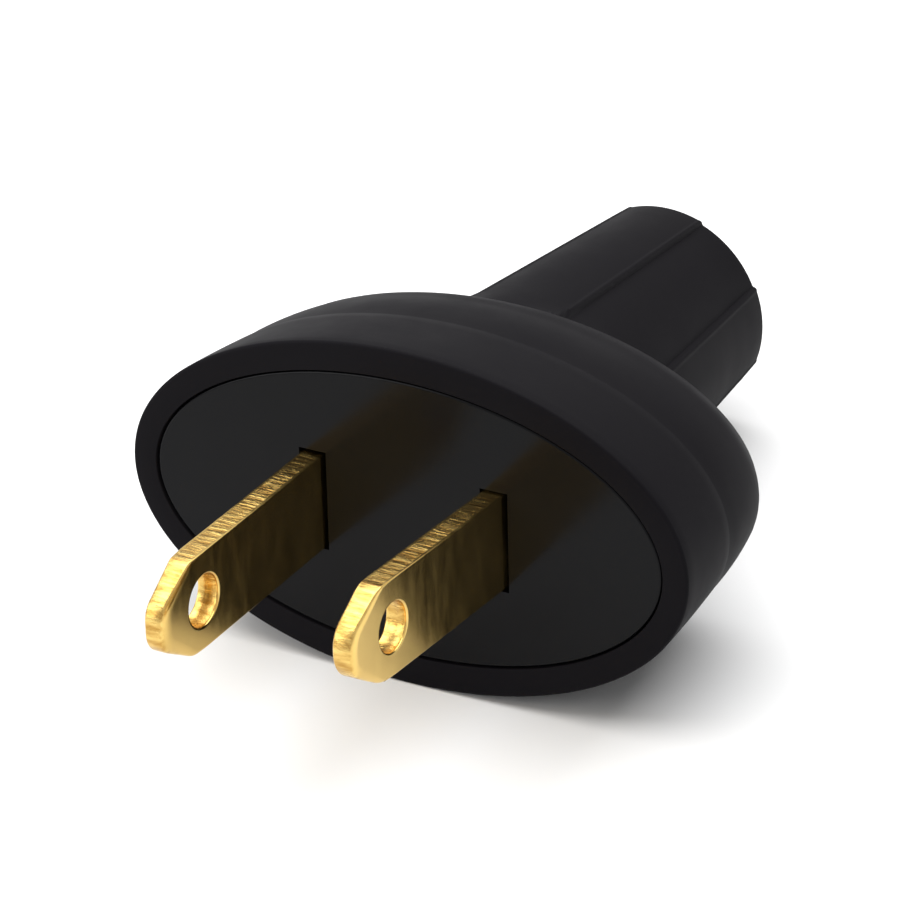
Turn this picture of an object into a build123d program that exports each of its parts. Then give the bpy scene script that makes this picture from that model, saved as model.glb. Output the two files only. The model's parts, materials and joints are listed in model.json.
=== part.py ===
"""Two-blade mains plug with a moulded rubber body, sizes in millimetres.

The plug is drawn along its own axis first: X runs across the two blades, Y runs from the
blade tips to the cord end, Z is up, and the front rim of the rubber lies at Y = 0.
At the end every piece is turned and lifted together, so that the plug lies on the ground
as it comes to rest: on the bottom of its front rim and the bottom of its cord end.
The origin is the middle of that footprint.
"""
from build123d import *
from math import atan2, degrees
import os

# Edges closer than this to a plane count as lying in it.
same_place = 0.001

# Rubber body, outside: an oval flange in two bands, then a tapered round grip.
rim_half_width = 19.5
rim_half_height = 11.36
waist_from_rim = 6.34
waist_half_width = 19.05
waist_half_height = 10.6
shoulder_from_rim = 11.7
shoulder_half_width = 18.4
shoulder_half_height = 9.55
back_from_rim = 13.7
back_half_width = 17.5
back_half_height = 9.15
rim_rounding = 0.5
back_rounding = 0.45

grip_root_radius = 8.95
grip_end_radius = 7.22
grip_end_from_rim = 35.4
grip_end_rounding = 0.5
panel_count = 4
panel_angle = 45.0
panel_depth = 0.35
flare_half_width = 11.5
flare_length = 2.2

# Rubber body, inside: the seat of the blade carrier, the wire room and the cord's bore.
carrier_half_width = 17.8
carrier_half_height = 9.4
carrier_seat_from_rim = 5.5
carrier_set_back = 0.1
carrier_clearance = 0.1
carrier_rounding = 0.15
snap_bead_from_rim = 3.4
snap_bead_width = 1.0
snap_bead_height = 0.3
wire_room_half_width = 15.5
wire_room_half_height = 7.4
wire_room_end_from_rim = 11.3
knot_room_radius = 6.0
knot_room_end_from_rim = 24.5
cord_radius = 3.8
cord_clearance = 0.1
cord_bore_from_rim = 27.5

# Brass blades: flat strip, clipped and coined tip, a round hole and a terminal foot bent outwards.
blade_spacing = 12.7
blade_width = 6.3
blade_thickness = 1.5
blade_reach = 18.3
blade_slot_clearance = 0.2
tip_flat_width = 2.6
tip_corner_length = 3.2
tip_corner_rounding = 1.2
tip_coining_width = 0.8
tip_coining_depth = 0.3
detent_hole_radius = 1.6
detent_hole_from_rim = 13.7
detent_hole_edge = 0.1
foot_reach = 7.4
foot_width = 7.0
foot_clearance = 0.1
foot_corner_rounding = 1.2
bend_inside_radius = 0.25

# Brass terminal screws.
screw_radius = 1.75
screw_thread_clearance = 0.05
screw_length_past_foot = 2.8
screw_pilot_clearance = 0.1
screw_pilot_extra_depth = 0.3
screw_head_radius = 3.1
screw_head_height = 1.9
screw_head_rounding = 0.4
screw_slot_width = 0.9
screw_slot_depth = 0.8

# Wall of the carrier that keeps the two terminals apart.
barrier_thickness = 1.8
barrier_half_height = 6.6
barrier_reach = 4.6


def across(y):
    """The plane across the plug's axis at a distance y behind the front rim, facing back."""
    return Plane(origin=(0, y, 0), x_dir=(1, 0, 0), z_dir=(0, 1, 0))


def oval(y, half_width, half_height):
    return across(y) * Ellipse(half_width, half_height)


def disc(y, radius):
    return across(y) * Circle(radius)


def straight_oval(y_front, y_back, half_width, half_height):
    return extrude(oval(y_front, half_width, half_height), y_back - y_front)


def straight_round(y_front, y_back, radius):
    return extrude(disc(y_front, radius), y_back - y_front)


def tapered_round(y_front, y_back, front_radius, back_radius):
    cone = Cone(front_radius, back_radius, y_back - y_front, align=(Align.CENTER, Align.CENTER, Align.MIN))
    return across(y_front) * cone


def edges_at(solid, y):
    """The edges that lie in the plane across the axis at y."""
    return solid.edges().filter_by_position(Axis.Y, y - same_place, y + same_place)


def build_grip():
    """Tapered grip with shallow lengthwise panels between raised ribs, open at the cord end."""
    grip = tapered_round(back_from_rim, grip_end_from_rim, grip_root_radius, grip_end_radius)
    grip = fillet(edges_at(grip, grip_end_from_rim), grip_end_rounding)
    core = tapered_round(
        back_from_rim, grip_end_from_rim, grip_root_radius - panel_depth, grip_end_radius - panel_depth
    )
    wedge_radius = 2 * grip_root_radius
    wedge = Polyline(
        (0, 0),
        (wedge_radius, -wedge_radius * tan_of_half_panel()),
        (wedge_radius, wedge_radius * tan_of_half_panel()),
        close=True,
    )
    sector = extrude(across(back_from_rim) * make_face(wedge), grip_end_from_rim - back_from_rim)
    panel = sector - core
    for index in range(panel_count):
        turn = 360 / panel_count * (index + 0.5)
        grip -= panel.rotate(Axis.Y, turn)
    return grip


def tan_of_half_panel():
    """Half the width of one panel at a distance of one from the axis."""
    edge = Vector(1, 0, 0).rotate(Axis.Z, panel_angle / 2)
    return edge.Y / edge.X


def build_body():
    """The rubber body: flange, grip, seat for the carrier, wire room and cord bore, in one piece."""
    rim = oval(0, rim_half_width, rim_half_height)
    waist = oval(waist_from_rim, waist_half_width, waist_half_height)
    shoulder = oval(shoulder_from_rim, shoulder_half_width, shoulder_half_height)
    back = oval(back_from_rim, back_half_width, back_half_height)
    front_band = loft([rim, waist], ruled=True)
    front_band = fillet(edges_at(front_band, 0), rim_rounding)
    rear_band = loft([waist, shoulder, back])
    rear_band = fillet(edges_at(rear_band, back_from_rim), back_rounding)
    flare_root = oval(back_from_rim, flare_half_width, grip_root_radius - panel_depth)
    flare_end_radius = grip_root_radius - 2 * panel_depth
    flare_end = oval(back_from_rim + flare_length, flare_end_radius, flare_end_radius)
    flare = loft([flare_root, flare_end], ruled=True)
    body = front_band + rear_band + build_grip() + flare

    seat = straight_oval(0, carrier_seat_from_rim, carrier_half_width, carrier_half_height)
    groove = straight_oval(
        snap_bead_from_rim - carrier_clearance,
        snap_bead_from_rim + snap_bead_width + carrier_clearance,
        carrier_half_width + snap_bead_height,
        carrier_half_height + snap_bead_height,
    )
    wire_room = straight_oval(
        carrier_seat_from_rim, wire_room_end_from_rim, wire_room_half_width, wire_room_half_height
    )
    knot_room = straight_round(wire_room_end_from_rim, knot_room_end_from_rim, knot_room_radius)
    cord_bore_radius = cord_radius + cord_clearance
    throat = tapered_round(knot_room_end_from_rim, cord_bore_from_rim, knot_room_radius, cord_bore_radius)
    cord_bore = straight_round(cord_bore_from_rim, grip_end_from_rim, cord_bore_radius)
    return body - seat - groove - wire_room - knot_room - throat - cord_bore


def foot_outline(clearance):
    """Outline of a terminal foot, from the inner face of its blade outwards, on the +X side."""
    inner = blade_spacing / 2 - blade_thickness / 2 - clearance
    outer = blade_spacing / 2 + blade_thickness / 2 + foot_reach + clearance
    outline = Rectangle(outer - inner, foot_width + 2 * clearance)
    return Pos((outer + inner) / 2, 0) * outline


def screw_place():
    """Distance of a terminal screw from the middle plane: the middle of the foot's free part."""
    return blade_spacing / 2 + blade_thickness / 2 + foot_reach / 2


def build_carrier():
    """The hard oval block in the rubber seat: blade slots, foot pockets, pilot holes, barrier."""
    front = carrier_set_back
    half_width = carrier_half_width - carrier_clearance
    half_height = carrier_half_height - carrier_clearance
    carrier = straight_oval(front, carrier_seat_from_rim, half_width, half_height)
    carrier = fillet(edges_at(carrier, front), carrier_rounding)
    carrier += straight_oval(
        snap_bead_from_rim,
        snap_bead_from_rim + snap_bead_width,
        half_width + snap_bead_height,
        half_height + snap_bead_height,
    )
    barrier = Rectangle(barrier_thickness, 2 * barrier_half_height)
    carrier += extrude(across(carrier_seat_from_rim) * barrier, barrier_reach)

    foot_front = carrier_seat_from_rim - blade_thickness
    slot = Rectangle(blade_thickness + 2 * blade_slot_clearance, blade_width + 2 * blade_slot_clearance)
    pilot_depth = screw_length_past_foot + screw_pilot_extra_depth
    for side in (-1, 1):
        slot_place = Pos(side * blade_spacing / 2, 0)
        carrier -= extrude(across(front) * (slot_place * slot), foot_front - front)
        pocket = extrude(across(foot_front) * foot_outline(foot_clearance), blade_thickness)
        pilot = straight_round(foot_front - pilot_depth, foot_front, screw_radius + screw_pilot_clearance)
        pilot = Pos(screw_place(), 0, 0) * pilot
        carrier -= on_side(pocket + pilot, side)
    return carrier


def on_side(shape, side):
    """A shape drawn for the +X blade, or its mirror image for the -X blade."""
    return shape if side > 0 else mirror(shape, about=Plane.YZ)


def blade_face():
    """Side outline of the blade from its foot to its tip, with the clipped and rounded tip."""
    tip = -blade_reach
    corner = tip + tip_corner_length
    root = carrier_seat_from_rim
    half_width = blade_width / 2
    half_flat = tip_flat_width / 2
    outline = Polyline(
        (root, -half_width),
        (corner, -half_width),
        (tip, -half_flat),
        (tip, half_flat),
        (corner, half_width),
        (root, half_width),
        close=True,
    )
    face = make_face(outline)
    return fillet(face.vertices().sort_by(Axis.X)[0:4], tip_corner_rounding)


def coined(face):
    """The blade that a face belongs to, with that face rolled off along its tip and clipped corners."""
    tip_edges = face.edges().filter_by_position(
        Axis.Y, -blade_reach - same_place, -blade_reach + tip_corner_length - same_place
    )
    return chamfer(tip_edges, tip_coining_width, tip_coining_depth, reference=face)


def build_blade(side):
    """One stamped blade with its foot bent outwards, which the terminal screw clamps a wire to."""
    inner_face = blade_spacing / 2 - blade_thickness / 2
    side_plane = Plane(origin=(inner_face, 0, 0), x_dir=(0, 1, 0), z_dir=(1, 0, 0))
    strip = extrude(side_plane * blade_face(), blade_thickness)
    strip = coined(strip.faces().sort_by(Axis.X)[0])
    strip = coined(strip.faces().sort_by(Axis.X)[-1])
    hole_place = side_plane * Pos(-detent_hole_from_rim, 0)
    strip -= extrude(hole_place * Circle(detent_hole_radius), blade_thickness)
    hole_edges = strip.edges().filter_by(GeomType.CIRCLE).group_by(SortBy.RADIUS)[-1]
    strip = chamfer(hole_edges, detent_hole_edge)

    foot_front = carrier_seat_from_rim - blade_thickness
    foot = extrude(across(foot_front) * foot_outline(0), blade_thickness)
    outer_corners = foot.edges().filter_by(Axis.Y).group_by(Axis.X)[-1]
    foot = fillet(outer_corners, foot_corner_rounding)
    blade = strip + foot
    bend_inside = edges_at(blade, foot_front).filter_by(Axis.Z).sort_by(Axis.X)[0]
    blade = fillet(bend_inside, bend_inside_radius)
    bend_outside = edges_at(blade, carrier_seat_from_rim).filter_by(Axis.Z).sort_by(Axis.X)[0]
    blade = fillet(bend_outside, blade_thickness / 2)
    thread = straight_round(foot_front, carrier_seat_from_rim, screw_radius + screw_thread_clearance)
    blade -= Pos(screw_place(), 0, 0) * thread
    return on_side(blade, side)


def build_screw(side):
    """One slotted terminal screw, through the foot and into the carrier, its head at the back."""
    head_seat = carrier_seat_from_rim
    head = straight_round(head_seat, head_seat + screw_head_height, screw_head_radius)
    head = fillet(edges_at(head, head_seat + screw_head_height), screw_head_rounding)
    slot = Rectangle(screw_slot_width, 2 * screw_head_radius)
    slot_floor = head_seat + screw_head_height - screw_slot_depth
    head -= extrude(across(slot_floor) * slot, screw_slot_depth)
    shank = straight_round(
        head_seat - blade_thickness - screw_length_past_foot, head_seat, screw_radius
    )
    return on_side(Pos(screw_place(), 0, 0) * (head + shank), side)


def lay_down(pieces):
    """Turn and lift all pieces together onto the ground, with the footprint's middle at the origin."""
    nose_up = degrees(atan2(rim_half_height - grip_end_radius, grip_end_from_rim))
    turned = {name: piece.rotate(Axis.X, -nose_up) for name, piece in pieces.items()}
    box = Compound(list(turned.values())).bounding_box()
    shift = Pos(0, -(box.min.Y + box.max.Y) / 2, -box.min.Z)
    return {name: shift * piece for name, piece in turned.items()}


pieces = {
    "rubber_body": build_body(),
    "blade_carrier": build_carrier(),
    "blade_left": build_blade(-1),
    "blade_right": build_blade(1),
    "terminal_screw_left": build_screw(-1),
    "terminal_screw_right": build_screw(1),
}

os.makedirs("parts", exist_ok=True)
for name, piece in lay_down(pieces).items():
    export_step(piece, f"parts/{name}.step")
    size = piece.bounding_box().size
    print(f"{name}: {size.X:.2f} x {size.Y:.2f} x {size.Z:.2f} mm, {piece.volume:.0f} cubic mm")
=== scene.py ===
import json
import math

import bmesh
import bpy
from mathutils import Matrix, Vector


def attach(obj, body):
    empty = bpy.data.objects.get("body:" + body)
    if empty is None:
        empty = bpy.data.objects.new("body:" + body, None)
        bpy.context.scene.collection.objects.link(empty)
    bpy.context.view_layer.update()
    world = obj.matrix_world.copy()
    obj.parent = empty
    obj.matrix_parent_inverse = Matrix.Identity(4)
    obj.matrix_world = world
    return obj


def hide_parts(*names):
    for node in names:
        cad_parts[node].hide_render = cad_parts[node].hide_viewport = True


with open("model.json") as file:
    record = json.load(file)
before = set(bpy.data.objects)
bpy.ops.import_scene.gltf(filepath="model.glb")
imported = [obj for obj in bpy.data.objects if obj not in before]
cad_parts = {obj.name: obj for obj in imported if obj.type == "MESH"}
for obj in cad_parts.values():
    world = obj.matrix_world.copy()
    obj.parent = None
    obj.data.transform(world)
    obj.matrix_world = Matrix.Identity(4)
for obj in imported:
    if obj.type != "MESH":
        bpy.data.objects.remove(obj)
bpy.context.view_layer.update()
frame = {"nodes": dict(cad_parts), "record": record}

# Rubber body. One moulding in black natural rubber: an oval flange to press on, a tapered grip with
# shallow lengthwise panels, a seat for the blade carrier in front, and a bore for the cord.
# An oval is its half width, its half height and, where it isn't at the rim, its place behind it.
MM = 0.001
RIM = (19.5, 11.36)
RIM_ROUND = 0.22
WAIST = (19.05, 10.6, 6.34)
WAIST_STEP = ((0.04, 0.12), (0.06, 0.3))
SHOULDER = (18.35, 9.72, 11.7)
BACK = (17.5, 9.15, 13.7)
BACK_ROUND = (0.35, 0.22, 0.35)
FRONT_BAND_SWELL = 0.04
REAR_BAND_SWELL = 0.12
SHOULDER_SWELL = 0.1
GRIP_ROOT = 8.95
FLARE = ((4.45, 0.0, 0.01), (2.05, -0.02, 0.3), (0.75, -0.07, 0.95), (-0.15, -0.15, 2.2))
GRIP_END = 7.22
GRIP_END_Y = 35.4
GRIP_END_ROUND = 0.5
PANEL_PITCH = 90.0
PANEL_HALF_ANGLE = 22.5
PANEL_EDGE_ANGLE = 1.4
PANEL_DEPTH = 0.3
PANEL_END_DEPTH = 0.5
PANEL_END_Y = 34.3
RIDGE_HEIGHT = 0.07
RIDGE_ANGLE = 1.6
RIDGE_SPREAD = 0.9
SEAT = (17.8, 9.4)
SEAT_Y = 5.5
SEAT_ROUND = 0.06
GROOVE = 0.3
GROOVE_FRONT_Y = 3.3
GROOVE_BACK_Y = 4.5
WIRE_ROOM = (15.5, 7.4)
WIRE_ROOM_END_Y = 11.3
KNOT_ROOM = 6.0
KNOT_ROOM_END_Y = 24.5
CORD_BORE = 3.9
CORD_BORE_Y = 27.5
MOUTH_ROUND = 0.4
RING_SEGMENTS = 576
BODY_CREASE_DEGREES = 40

# Where the plug lies. It rests on its front rim and its cord end, so its own axis dips a little.
# Every piece is modelled along that axis, with the front rim at Y = 0, and is then laid down.
mounts = {mount["name"]: mount for mount in frame["record"]["mounts"]}
rim_middle = Vector(mounts["blades"]["pos_m"])
towards_cord = -Vector(mounts["blades"]["axis"])
dip = math.atan2(-towards_cord.z, towards_cord.y)
laid_down = Matrix.Translation(rim_middle) @ Matrix.Rotation(-dip, 4, "X")


def finish_piece(bm, name, crease_degrees):
    """Lays the mesh down on the ground and makes it an object of its own that rides with the plug."""
    bmesh.ops.recalc_face_normals(bm, faces=bm.faces)
    bmesh.ops.transform(bm, matrix=laid_down @ Matrix.Scale(MM, 4), verts=bm.verts)
    mesh = bpy.data.meshes.new(name)
    bm.to_mesh(mesh)
    bm.free()
    mesh.shade_smooth()
    mesh.set_sharp_from_angle(angle=math.radians(crease_degrees))
    piece = bpy.data.objects.new(name, mesh)
    bpy.context.collection.objects.link(piece)
    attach(piece, "root")
    return piece


def corner(half_width, half_height, y, radii, turn_from, turn_to, steps=5):
    """Ovals round a moulded corner: its middle, its radii across, up and along, and its turn."""
    across, up, along = radii
    ovals = []
    for step in range(steps + 1):
        turn = math.radians(turn_from + (turn_to - turn_from) * step / steps)
        ovals.append(
            (
                half_width + across * math.cos(turn),
                half_height + up * math.cos(turn),
                y + along * math.sin(turn),
            )
        )
    return ovals


def straight(start, end, steps, swell=0.0):
    """Ovals between two ovals, standing out by swell halfway, without the first and the last."""
    ovals = []
    for step in range(1, steps):
        share = step / steps
        out = 4 * swell * share * (1 - share)
        a, b, y = (start[i] + (end[i] - start[i]) * share for i in range(3))
        ovals.append((a + out, b + out, y))
    return ovals


def loft_ovals(bm, ovals):
    """Extrudes one ring through all the ovals and closes the last onto the first."""
    half_width, half_height, y = ovals[0]
    ring = bmesh.ops.create_circle(bm, segments=RING_SEGMENTS, radius=1.0)["verts"]
    bmesh.ops.rotate(bm, verts=ring, matrix=Matrix.Rotation(math.pi / 2, 3, "X"))
    bmesh.ops.scale(bm, verts=ring, vec=(half_width, 1, half_height))
    bmesh.ops.translate(bm, verts=ring, vec=(0, y, 0))
    first_edges = edges = list(bm.edges)
    rings = [ring]
    for a, b, place in ovals[1:]:
        extruded = bmesh.ops.extrude_edge_only(bm, edges=edges)["geom"]
        ring = [item for item in extruded if isinstance(item, bmesh.types.BMVert)]
        edges = [item for item in extruded if isinstance(item, bmesh.types.BMEdge)]
        edges = [edge for edge in edges if edge.verts[0] in set(ring) and edge.verts[1] in set(ring)]
        bmesh.ops.scale(bm, verts=ring, vec=(a / half_width, 1, b / half_height))
        bmesh.ops.translate(bm, verts=ring, vec=(0, place - y, 0))
        half_width, half_height, y = a, b, place
        rings.append(ring)
    bmesh.ops.bridge_loops(bm, edges=first_edges + edges)
    return rings


def panel_depth(vert):
    """How deep a point on the grip is sunk: nothing on the ribs, less than nothing on their edges."""
    angle = math.degrees(math.atan2(vert.co.z, vert.co.x)) % PANEL_PITCH
    inside = PANEL_HALF_ANGLE - abs(angle - PANEL_PITCH / 2)
    share = min(1.0, max(0.0, 0.5 + inside / PANEL_EDGE_ANGLE))
    ridge = math.exp(-(((inside + RIDGE_ANGLE) / RIDGE_SPREAD) ** 2))
    return PANEL_DEPTH * share * share * (3 - 2 * share) - RIDGE_HEIGHT * ridge


front = corner(SEAT[0] + SEAT_ROUND, SEAT[1] + SEAT_ROUND, SEAT_ROUND, (SEAT_ROUND,) * 3, 180, 270, 3)
front += corner(RIM[0] - RIM_ROUND, RIM[1] - RIM_ROUND, RIM_ROUND, (RIM_ROUND,) * 3, 270, 358)
front_band = straight(front[-1], WAIST, 8, FRONT_BAND_SWELL) + [WAIST]
rear_band = [(WAIST[0] - down, WAIST[1] - down, WAIST[2] + along) for down, along in WAIST_STEP]
rear_band += straight(rear_band[-1], SHOULDER, 8, REAR_BAND_SWELL) + [SHOULDER]
back_middle = [size - rounding for size, rounding in zip(BACK, BACK_ROUND)]
back = corner(*back_middle, BACK_ROUND, 20, 90, 7)
rear_band += straight(SHOULDER, back[0], 4, SHOULDER_SWELL)
flare = [(GRIP_ROOT + across, GRIP_ROOT + up, BACK[2] + along) for across, up, along in FLARE]
grip_end_middle = GRIP_END - GRIP_END_ROUND
grip_end = corner(
    grip_end_middle, grip_end_middle, GRIP_END_Y - GRIP_END_ROUND, (GRIP_END_ROUND,) * 3, 0, 90
)
grip = straight(flare[-1], grip_end[0], 12) + grip_end
mouth_middle = CORD_BORE + MOUTH_ROUND
mouth = corner(mouth_middle, mouth_middle, GRIP_END_Y - MOUTH_ROUND, (MOUTH_ROUND,) * 3, 90, 180)
inside = [
    (CORD_BORE, CORD_BORE, CORD_BORE_Y),
    (KNOT_ROOM, KNOT_ROOM, KNOT_ROOM_END_Y),
    (KNOT_ROOM, KNOT_ROOM, WIRE_ROOM_END_Y),
    (*WIRE_ROOM, WIRE_ROOM_END_Y),
    (*WIRE_ROOM, SEAT_Y),
    (*SEAT, SEAT_Y),
    (*SEAT, GROOVE_BACK_Y),
    (SEAT[0] + GROOVE, SEAT[1] + GROOVE, GROOVE_BACK_Y),
    (SEAT[0] + GROOVE, SEAT[1] + GROOVE, GROOVE_FRONT_Y),
    (*SEAT, GROOVE_FRONT_Y),
]
flange = front + front_band + rear_band + back
ovals = flange + flare + grip + mouth + inside

body_mesh = bmesh.new()
rings = loft_ovals(body_mesh, ovals)

# The panels are sunk into the flare and the grip. They get shallower near the cord end, and run out
# over its rounding.
for index in range(len(flange), len(flange + flare + grip)):
    fade = min(1.0, (ovals[index][0] - CORD_BORE) / (GRIP_END - CORD_BORE - GRIP_END_ROUND / 2))
    for vert in rings[index]:
        radius = math.hypot(vert.co.x, vert.co.z)
        end_fade = 1 - PANEL_END_DEPTH * min(1.0, max(0.0, vert.co.y - PANEL_END_Y))
        sunk = 1 - panel_depth(vert) * fade * end_fade / radius
        vert.co.x *= sunk
        vert.co.z *= sunk
body = finish_piece(body_mesh, "rubber_body_moulding", BODY_CREASE_DEGREES)
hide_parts("rubber_body")


def linear(hex_colour):
    """An sRGB hex colour as linear red, green, blue and a full alpha."""
    channels = [int(hex_colour[i : i + 2], 16) / 255 for i in (1, 3, 5)]
    return tuple(c / 12.92 if c <= 0.04045 else ((c + 0.055) / 1.055) ** 2.4 for c in channels) + (1.0,)


def add_node(owner, kind, inputs=None, **settings):
    """Adds a node to a material or world, with its settings, and its inputs as values or links."""
    new = owner.node_tree.nodes.new(kind)
    for key, value in settings.items():
        setattr(new, key, value)
    for key, value in (inputs or {}).items():
        if isinstance(value, bpy.types.NodeSocket):
            owner.node_tree.links.new(value, new.inputs[key])
        else:
            new.inputs[key].default_value = value
    return new


def new_material(name):
    """A material with a Principled surface, whose place on the plug follows the plug's own axis."""
    material = bpy.data.materials.new(name)
    material.use_nodes = True
    material.node_tree.nodes.clear()
    surface = add_node(material, "ShaderNodeBsdfPrincipled")
    add_node(material, "ShaderNodeOutputMaterial", {"Surface": surface.outputs[0]})
    place = add_node(material, "ShaderNodeTexCoord")
    unturned = laid_down.inverted()
    upright = add_node(
        material,
        "ShaderNodeMapping",
        {
            "Vector": place.outputs["Object"],
            "Location": unturned.to_translation(),
            "Rotation": unturned.to_euler(),
        },
    )
    return material, surface, upright.outputs[0]


# Moulded black rubber. Carbon black makes it nearly black; the mould's fine grit and a little bloom
# make it satin, so that it lifts to a soft grey where it turns up to the light.
GRIT_MM = 0.12
BLOOM_MM = 6.0
rubber, surface, place = new_material("moulded black rubber")
grit = add_node(
    rubber,
    "ShaderNodeTexNoise",
    {"Vector": place, "Scale": 1 / (GRIT_MM * MM), "Detail": 3.0, "Roughness": 0.6},
)
bloom = add_node(
    rubber,
    "ShaderNodeTexNoise",
    {"Vector": place, "Scale": 1 / (BLOOM_MM * MM), "Detail": 5.0, "Roughness": 0.55},
)
tone = add_node(
    rubber,
    "ShaderNodeMix",
    {"Factor": bloom.outputs["Fac"], "A": linear("#0f0d10"), "B": linear("#141316")},
    data_type="RGBA",
)
satin = add_node(
    rubber,
    "ShaderNodeMapRange",
    {"Value": bloom.outputs["Fac"], "From Min": 0.3, "From Max": 0.7, "To Min": 0.5, "To Max": 0.62},
)
skin = add_node(
    rubber, "ShaderNodeBump", {"Height": grit.outputs["Fac"], "Strength": 0.12, "Distance": 0.02 * MM}
)
rubber.node_tree.links.new(tone.outputs["Result"], surface.inputs["Base Color"])
rubber.node_tree.links.new(satin.outputs["Result"], surface.inputs["Roughness"])
rubber.node_tree.links.new(skin.outputs["Normal"], surface.inputs["Normal"])
surface.inputs["IOR"].default_value = 1.52
surface.inputs["Specular IOR Level"].default_value = 0.04
body.data.materials.append(rubber)

# Blade carrier. One hard thermoset moulding, pressed into the rubber from the front, with a slot
# for each blade a little wider than the brass.


def finish_node(name, material):
    """Gives a carried-over piece its own finish."""
    node = frame["nodes"][name]
    node.data.materials.clear()
    node.data.materials.append(material)


# Black phenolic moulding. A polished mould leaves it smoother than the rubber, so that it mirrors
# the blades faintly.
FLOW_MM = 4.0
PITTING_MM = 0.2
phenolic, surface, place = new_material("black phenolic moulding")
flow = add_node(
    phenolic,
    "ShaderNodeTexNoise",
    {"Vector": place, "Scale": 1 / (FLOW_MM * MM), "Detail": 4.0, "Roughness": 0.6},
)
tone = add_node(
    phenolic,
    "ShaderNodeMix",
    {"Factor": flow.outputs["Fac"], "A": linear("#0a0a0c"), "B": linear("#0e0e10")},
    data_type="RGBA",
)
gloss = add_node(
    phenolic,
    "ShaderNodeMapRange",
    {"Value": flow.outputs["Fac"], "From Min": 0.3, "From Max": 0.7, "To Min": 0.13, "To Max": 0.2},
)
pitting = add_node(
    phenolic,
    "ShaderNodeTexNoise",
    {"Vector": place, "Scale": 1 / (PITTING_MM * MM), "Detail": 2.0, "Roughness": 0.5},
)
skin = add_node(
    phenolic,
    "ShaderNodeBump",
    {"Height": pitting.outputs["Fac"], "Strength": 0.06, "Distance": 0.02 * MM},
)
phenolic.node_tree.links.new(tone.outputs["Result"], surface.inputs["Base Color"])
phenolic.node_tree.links.new(gloss.outputs["Result"], surface.inputs["Roughness"])
phenolic.node_tree.links.new(skin.outputs["Normal"], surface.inputs["Normal"])
surface.inputs["IOR"].default_value = 1.5
surface.inputs["Specular IOR Level"].default_value = 0.1
finish_node("blade_carrier", phenolic)

# Blades. Two blades stamped from brass strip: a clipped nose with a coined border, a round hole,
# and a foot bent outwards behind the carrier, which a terminal screw clamps a wire to.
BLADE_X = 6.35
HALF_THICK = 0.75
HALF_WIDE = 3.15
BLADE_END_Y = 3.75
NOSE_LENGTH = 3.2
NOSE_HALF_FLAT = 1.3
COINING_START = 4.8
COINING_RISE = 3.8
EDGE_BREAK = 0.07
EDGE_INSETS = (1.06, 1.0, 0.8, 0.6, 0.4, 0.22, 0.1, 0.03, 0.0)
OUTLINE_STEP = 0.4
HOLE_RADIUS = 1.6
HOLE_ROUND = 0.12
HOLE_MARGIN = 0.05
HOLE_TEAR = ((0.0, 0.12), (0.05, 0.04), (0.06, -0.5))
HOLE_SEGMENTS = 72
BEND_INSIDE = 0.25
FOOT_REACH = 7.4
FOOT_HALF_WIDE = 3.5
FOOT_SHOULDER = 0.5
FOOT_ROUND = 1.2
FOOT_CORNER_ZONE = 0.2
LIFT_FROM_Y = 2.0
SAME_PLACE = 0.001
BLADE_CREASE_DEGREES = 38


def rounded_corner(before, at, after, radius, steps):
    """Points and outward directions round one corner of an outline that turns to the right."""
    way_in = (at - before).normalized()
    way_out = (after - at).normalized()
    turn = way_in.angle(way_out)
    start = at - way_in * radius * math.tan(turn / 2)
    outward = Vector((-way_in.y, way_in.x))
    centre = start - outward * radius
    points = []
    for step in range(steps + 1):
        angle = -turn * step / steps
        direction = Matrix.Rotation(angle, 2) @ outward
        points.append((centre + direction * radius, direction))
    return points


def blade_outline(reach, rounds):
    """Points (y, z) and outward directions from the root along the top edge, round the nose and back."""
    top = [
        Vector((-BLADE_END_Y, HALF_WIDE)),
        Vector((reach - NOSE_LENGTH, HALF_WIDE)),
        Vector((reach, NOSE_HALF_FLAT)),
    ]
    path = top + [Vector((point.x, -point.y)) for point in reversed(top)]
    count = round((BLADE_END_Y + reach - NOSE_LENGTH) / OUTLINE_STEP)
    outline = [(path[0].lerp(path[1], step / count), Vector((0, 1))) for step in range(count)]
    for index, radius in enumerate(rounds, start=1):
        outline += rounded_corner(path[index - 1], path[index], path[index + 1], radius, 8)
    outline += [(path[4].lerp(path[5], step / count), Vector((0, -1))) for step in range(1, count + 1)]
    return [(Vector((-point.x, point.y)), Vector((-out.x, out.y))) for point, out in outline]


def extrude_ring(bm, layers):
    """Extrudes a ring of edges through layers of points; gives the first and the last ring's edges."""
    ring = [bm.verts.new(point) for point in layers[0]]
    first_edges = edges = [bm.edges.new((ring[i - 1], ring[i])) for i in range(len(ring))]
    for layer in layers[1:]:
        grown = set(bmesh.ops.extrude_edge_only(bm, edges=edges)["geom"])
        ring = [
            next(edge.other_vert(vert) for edge in vert.link_edges if edge.other_vert(vert) in grown)
            for vert in ring
        ]
        for vert, point in zip(ring, layer):
            vert.co = point
        edges = [bm.edges.get((ring[i - 1], ring[i])) for i in range(len(ring))]
    return first_edges, edges


def nose_share(y, reach):
    """0 along the straight part of a blade, rising to 1 round its coined nose."""
    share = min(1.0, max(0.0, (COINING_START - reach - y) / COINING_RISE))
    return share * share * (3 - 2 * share)


def blade_layer(outline, reach, coin, inset):
    """The blade's outline on one side, drawn in by a share of the border's width, and its depth."""
    coin_width, coin_depth = coin
    points = []
    for point, outward in outline:
        share = nose_share(point.x, reach)
        width = EDGE_BREAK + (coin_width - EDGE_BREAK) * share
        depth = EDGE_BREAK + (coin_depth - EDGE_BREAK) * share
        rolled_off = 1 - math.sqrt(1 - (1 - min(1.0, inset)) ** 2)
        at = point - outward * width * inset
        points.append((HALF_THICK - depth * rolled_off, at.x, at.y))
    return points


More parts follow.
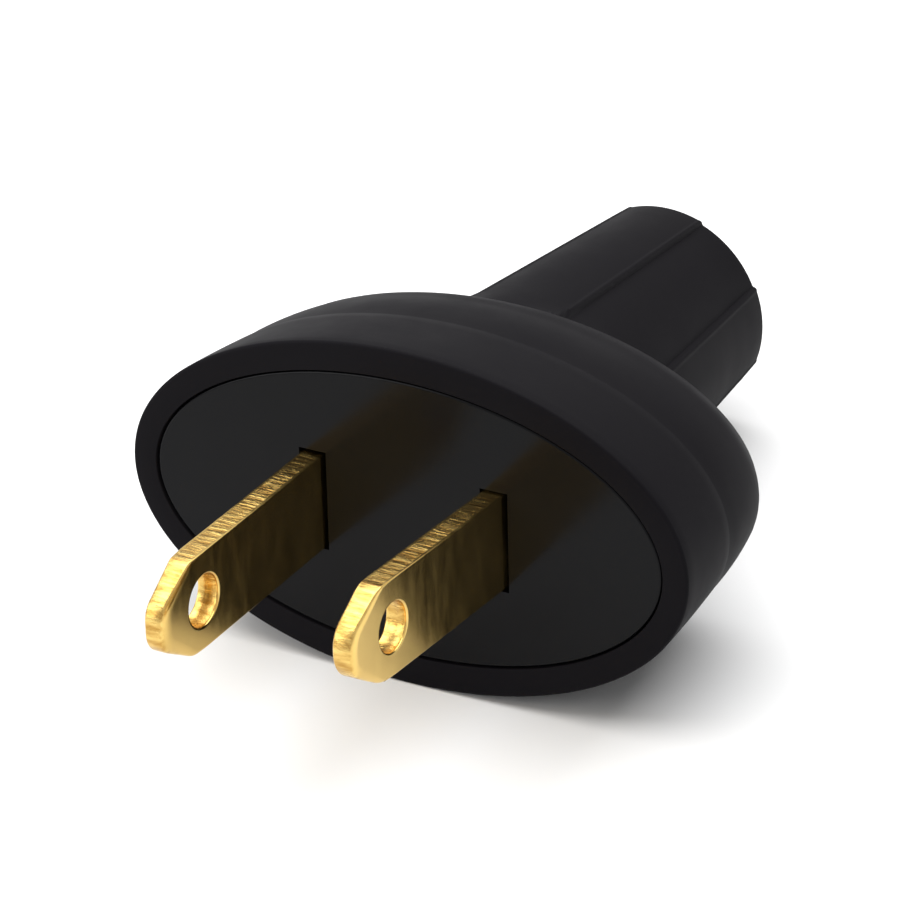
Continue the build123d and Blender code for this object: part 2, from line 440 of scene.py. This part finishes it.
def hole_layers(hole_y):
    """Rings down the hole: sheared smooth for the first part, and torn slightly wider behind that."""
    quarter = [math.pi / 8 * step for step in range(5)]
    near, far = (
        [
            (radius + HOLE_ROUND * (1 - math.sin(turn)), HALF_THICK - HOLE_ROUND * (1 - math.cos(turn)))
            for turn in quarter
        ]
        for radius in (HOLE_RADIUS, HOLE_RADIUS + HOLE_TEAR[-1][0])
    )
    steps = [(near[0][0] + HOLE_MARGIN, HALF_THICK)] + near
    steps += [(HOLE_RADIUS + wider, x) for wider, x in HOLE_TEAR]
    steps += [(radius, -x) for radius, x in reversed(far)] + [(far[0][0] + HOLE_MARGIN, -HALF_THICK)]
    around = [2 * math.pi * step / HOLE_SEGMENTS for step in range(HOLE_SEGMENTS)]
    return [
        [(x, hole_y + radius * math.cos(turn), radius * math.sin(turn)) for turn in around]
        for radius, x in steps
    ]


def build_stamped_blade(name, node, side, reach, hole_y, rounds, coin, lift):
    bm = bmesh.new()
    outline = blade_outline(reach, rounds)
    half = [blade_layer(outline, reach, coin, inset) for inset in EDGE_INSETS]
    layers = half + [[(0, point.x, point.y) for point, outward in outline]]
    layers += [[(-x, y, z) for x, y, z in layer] for layer in reversed(half)]
    for outer, inner in zip(extrude_ring(bm, layers), extrude_ring(bm, hole_layers(hole_y))):
        bmesh.ops.triangle_fill(bm, use_beauty=True, edges=outer + inner, normal=(1, 0, 0))

    # The foot: the strip turns outwards round a small bend and ends in a flat with rounded corners.
    root = [face for face in bm.faces if all(vert.co.y > BLADE_END_Y - SAME_PLACE for vert in face.verts)]
    bend_x = HALF_THICK + BEND_INSIDE
    end_x = HALF_THICK + FOOT_REACH
    spun = bmesh.ops.spin(
        bm,
        geom=root,
        cent=(bend_x, BLADE_END_Y, 0),
        axis=(0, 0, 1),
        angle=-math.pi / 2,
        steps=8,
        use_duplicate=False,
    )
    end = [item for item in spun["geom_last"] if isinstance(item, bmesh.types.BMFace)]
    bmesh.ops.delete(bm, geom=root, context="FACES")
    for x in (bend_x + FOOT_SHOULDER, end_x):
        grown = bmesh.ops.extrude_face_region(bm, geom=end)["geom"]
        bmesh.ops.delete(bm, geom=end, context="FACES")
        end = [item for item in grown if isinstance(item, bmesh.types.BMFace)]
        verts = [item for item in grown if isinstance(item, bmesh.types.BMVert)]
        highest = max(vert.co.z for vert in verts)
        bmesh.ops.translate(bm, verts=verts, vec=(x - verts[0].co.x, 0, 0))
        bmesh.ops.scale(bm, verts=verts, vec=(1, 1, FOOT_HALF_WIDE / highest))
    corners = [
        edge
        for edge in bm.edges
        if min(vert.co.x for vert in edge.verts) > end_x - SAME_PLACE
        and min(abs(vert.co.z) for vert in edge.verts) > FOOT_HALF_WIDE - FOOT_CORNER_ZONE
        and abs(edge.verts[0].co.y - edge.verts[1].co.y) > SAME_PLACE
    ]
    bmesh.ops.bevel(
        bm,
        geom=corners,
        offset=FOOT_ROUND,
        segments=6,
        profile=0.5,
        affect="EDGES",
        material=-1,
        clamp_overlap=False,
    )
    bmesh.ops.translate(bm, verts=bm.verts, vec=(BLADE_X, 0, 0))
    if side < 0:
        bmesh.ops.scale(bm, verts=bm.verts, vec=(-1, 1, 1))
    for vert in bm.verts:
        vert.co.z += lift * max(0.0, LIFT_FROM_Y - vert.co.y)
    blade = finish_piece(bm, name, BLADE_CREASE_DEGREES)
    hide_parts(node)
    return blade


# Each blade is pushed a little out of line: its reach, hole, nose corners, coined border and lift
# are its own.
left_blade = build_stamped_blade(
    "stamped_blade_left", "blade_left", -1, 18.45, -13.9, (0.8, 1.5, 1.6, 1.6), (0.9, 0.34), -0.02
)
right_blade = build_stamped_blade(
    "stamped_blade_right", "blade_right", 1, 18.05, -13.35, (2.4, 2.0, 2.0, 3.0), (0.6, 0.28), 0.045
)

# Stamped and tumbled brass. The rolled faces stay smooth and mirror the black face; the sheared
# edges, in the middle of the strip's thickness, keep cross-wise tear marks, which break the light up.
# The base colour follows the same relief: the sheared edges come out a darker gold than the rolled
# faces, the tear marks' hollows are painted darker as painted shade, and their crests lighter as painted
# highlight.
SHEARED_MM = (0.5, 0.72)
TEAR_MM = 0.34
ROLL_MM = 1.3
brass, surface, place = new_material("tumbled stamped brass")
parts = add_node(brass, "ShaderNodeSeparateXYZ", {"Vector": place})
from_middle = add_node(brass, "ShaderNodeMath", {0: parts.outputs["X"]}, operation="ABSOLUTE")
off_blade = add_node(
    brass, "ShaderNodeMath", {0: from_middle.outputs[0], 1: BLADE_X * MM}, operation="SUBTRACT"
)
depth_from_core = add_node(brass, "ShaderNodeMath", {0: off_blade.outputs[0]}, operation="ABSOLUTE")
sheared = add_node(
    brass,
    "ShaderNodeMapRange",
    {
        "Value": depth_from_core.outputs[0],
        "From Min": SHEARED_MM[0] * MM,
        "From Max": SHEARED_MM[1] * MM,
        "To Min": 1.0,
        "To Max": 0.0,
    },
    interpolation_type="SMOOTHSTEP",
)
tear_grain = add_node(brass, "ShaderNodeMapping", {"Vector": place, "Scale": (0.16, 1.0, 0.7)})
tears = add_node(
    brass,
    "ShaderNodeTexNoise",
    {"Vector": tear_grain.outputs[0], "Scale": 1 / (TEAR_MM * MM), "Detail": 5.0, "Roughness": 0.6},
)
roll_grain = add_node(brass, "ShaderNodeMapping", {"Vector": place, "Scale": (1.0, 1.6, 0.45)})
rolling = add_node(
    brass,
    "ShaderNodeTexNoise",
    {"Vector": roll_grain.outputs[0], "Scale": 1 / (ROLL_MM * MM), "Detail": 4.0, "Roughness": 0.55},
)
calm = add_node(
    brass,
    "ShaderNodeMapRange",
    {"Value": rolling.outputs["Fac"], "From Min": 0.3, "From Max": 0.7, "To Min": 0.57, "To Max": 0.63},
)
relief_and_painted_shade = add_node(
    brass,
    "ShaderNodeMix",
    {"Factor": sheared.outputs[0], "A": calm.outputs["Result"], "B": tears.outputs["Fac"]},
)
# The colour is read from the relief: painted shade in the tear marks' hollows, painted highlight on their
# crests.
tone = add_node(
    brass,
    "ShaderNodeMapRange",
    {"Value": relief_and_painted_shade.outputs["Result"], "From Min": 0.36, "From Max": 0.7, "To Min": 0.0, "To Max": 1.0},
)
gold_and_painted_shade = add_node(
    brass,
    "ShaderNodeMix",
    {"Factor": tone.outputs[0], "A": linear("#b08640"), "B": linear("#efce7c")},
    data_type="RGBA",
)
wear = add_node(
    brass,
    "ShaderNodeMapRange",
    {"Value": rolling.outputs["Fac"], "From Min": 0.3, "From Max": 0.7, "To Min": 0.18, "To Max": 0.26},
)
roughened = add_node(
    brass, "ShaderNodeMath", {0: sheared.outputs[0], 1: 0.03, 2: wear.outputs[0]}, operation="MULTIPLY_ADD"
)
strength = add_node(
    brass, "ShaderNodeMath", {0: sheared.outputs[0], 1: 0.75, 2: 0.003}, operation="MULTIPLY_ADD"
)
skin = add_node(
    brass,
    "ShaderNodeBump",
    {"Height": relief_and_painted_shade.outputs["Result"], "Strength": strength.outputs[0], "Distance": 0.12 * MM},
)
brass.node_tree.links.new(gold_and_painted_shade.outputs["Result"], surface.inputs["Base Color"])
brass.node_tree.links.new(roughened.outputs[0], surface.inputs["Roughness"])
brass.node_tree.links.new(skin.outputs["Normal"], surface.inputs["Normal"])
surface.inputs["Metallic"].default_value = 1.0
left_blade.data.materials.append(brass)
right_blade.data.materials.append(brass)

# Terminal screws. Two slotted brass screws, turned from bar, each through a foot and into the
# carrier; the wire is clamped under the head. The turning tool leaves fine rings and a soft gloss.
TOOL_MARK_MM = 0.4
turned_brass, surface, place = new_material("turned brass")
tool_grain = add_node(turned_brass, "ShaderNodeMapping", {"Vector": place, "Scale": (0.5, 3.0, 0.5)})
tool_marks = add_node(
    turned_brass,
    "ShaderNodeTexNoise",
    {"Vector": tool_grain.outputs[0], "Scale": 1 / (TOOL_MARK_MM * MM), "Detail": 4.0, "Roughness": 0.6},
)
tone = add_node(
    turned_brass,
    "ShaderNodeMix",
    {"Factor": tool_marks.outputs["Fac"], "A": linear("#c39a50"), "B": linear("#dfc07a")},
    data_type="RGBA",
)
wear = add_node(
    turned_brass,
    "ShaderNodeMapRange",
    {"Value": tool_marks.outputs["Fac"], "From Min": 0.3, "From Max": 0.7, "To Min": 0.2, "To Max": 0.36},
)
skin = add_node(
    turned_brass,
    "ShaderNodeBump",
    {"Height": tool_marks.outputs["Fac"], "Strength": 0.2, "Distance": 0.05 * MM},
)
turned_brass.node_tree.links.new(tone.outputs["Result"], surface.inputs["Base Color"])
turned_brass.node_tree.links.new(wear.outputs["Result"], surface.inputs["Roughness"])
turned_brass.node_tree.links.new(skin.outputs["Normal"], surface.inputs["Normal"])
surface.inputs["Metallic"].default_value = 1.0
finish_node("terminal_screw_left", turned_brass)
finish_node("terminal_screw_right", turned_brass)

# Floor and light. A plain white paper floor under a broad soft light from above and behind, with a
# weaker one from the left front, in a white room.
FLOOR_HALF_SIZE_MM = 600
FIBRE_MM = 8.0
PLUG_MIDDLE_MM = (0, 0, 10)
floor_mesh = bmesh.new()
bmesh.ops.create_grid(floor_mesh, x_segments=1, y_segments=1, size=FLOOR_HALF_SIZE_MM * MM)
floor_data = bpy.data.meshes.new("floor")
floor_mesh.to_mesh(floor_data)
floor_mesh.free()
floor = bpy.data.objects.new("floor", floor_data)
bpy.context.collection.objects.link(floor)
paper, surface, place = new_material("white paper floor")
fibre = add_node(
    paper, "ShaderNodeTexNoise", {"Vector": place, "Scale": 1 / (FIBRE_MM * MM), "Detail": 3.0}
)
tone = add_node(
    paper,
    "ShaderNodeMix",
    {"Factor": fibre.outputs["Fac"], "A": linear("#f4f4f4"), "B": linear("#f8f8f8")},
    data_type="RGBA",
)
paper.node_tree.links.new(tone.outputs["Result"], surface.inputs["Base Color"])
surface.inputs["Roughness"].default_value = 0.9
surface.inputs["Specular IOR Level"].default_value = 0.0
floor_data.materials.append(paper)


def soft_light(name, size_mm, watts, place_mm):
    """A rectangular area light that faces the middle of the plug."""
    light = bpy.data.lights.new(name, "AREA")
    light.shape = "RECTANGLE"
    light.size, light.size_y = (side * MM for side in size_mm)
    light.energy = watts
    lamp = bpy.data.objects.new(name, light)
    lamp.location = Vector(place_mm) * MM
    lamp.rotation_mode = "QUATERNION"
    lamp.rotation_quaternion = (Vector(PLUG_MIDDLE_MM) * MM - lamp.location).to_track_quat("-Z", "Y")
    bpy.context.collection.objects.link(lamp)


soft_light("overhead", (520, 440), 2.1, (-10, 50, 320))
soft_light("left front", (260, 200), 0.43, (-240, -220, 170))

# The room is white where it is seen directly, in metal or through glass, and only fills the shadows
# with a weaker light.
ROOM_FILL = 0.45
room = bpy.data.worlds.new("white room")
bpy.context.scene.world = room
room.use_nodes = True
room.node_tree.nodes.clear()
seen = add_node(room, "ShaderNodeLightPath")
backdrop = add_node(room, "ShaderNodeBackground", {"Strength": 1.0})
fill = add_node(room, "ShaderNodeBackground", {"Strength": ROOM_FILL})
seen_directly = add_node(
    room,
    "ShaderNodeMath",
    {0: seen.outputs["Is Camera Ray"], 1: seen.outputs["Is Transmission Ray"]},
    operation="MAXIMUM",
)
seen_at_all = add_node(
    room,
    "ShaderNodeMath",
    {0: seen_directly.outputs[0], 1: seen.outputs["Is Glossy Ray"]},
    operation="MAXIMUM",
)
mixed = add_node(
    room,
    "ShaderNodeMixShader",
    {"Fac": seen_at_all.outputs[0], 1: fill.outputs[0], 2: backdrop.outputs[0]},
)
add_node(room, "ShaderNodeOutputWorld", {"Surface": mixed.outputs[0]})

# Camera. It stands where the photograph was taken from: right of the plug, above it and turned a
# little, with a long lens.
CAMERA_TARGET_MM = (1.689, -5.288, 14.623)
CAMERA_DISTANCE_MM = 303.27
CAMERA_AZIMUTH = math.radians(32.002)
CAMERA_ELEVATION = math.radians(31.793)
CAMERA_ROLL = math.radians(-5.474)
LENS_MM = 198.57
SENSOR_MM = 36.0
CLIP_START_MM = 10
camera_data = bpy.data.cameras.new("camera")
camera_data.sensor_width = SENSOR_MM
camera_data.lens = LENS_MM
camera_data.clip_start = CLIP_START_MM * MM
camera = bpy.data.objects.new("camera", camera_data)
towards_camera = Vector(
    (
        math.sin(CAMERA_AZIMUTH) * math.cos(CAMERA_ELEVATION),
        -math.cos(CAMERA_AZIMUTH) * math.cos(CAMERA_ELEVATION),
        math.sin(CAMERA_ELEVATION),
    )
)
camera.location = (Vector(CAMERA_TARGET_MM) + towards_camera * CAMERA_DISTANCE_MM) * MM
camera.rotation_mode = "QUATERNION"
level = (-towards_camera).to_track_quat("-Z", "Y")
camera.rotation_quaternion = level @ Matrix.Rotation(CAMERA_ROLL, 3, "Z").to_quaternion()
bpy.context.collection.objects.link(camera)
bpy.context.scene.camera = camera
bpy.context.scene.view_settings.view_transform = "Standard"
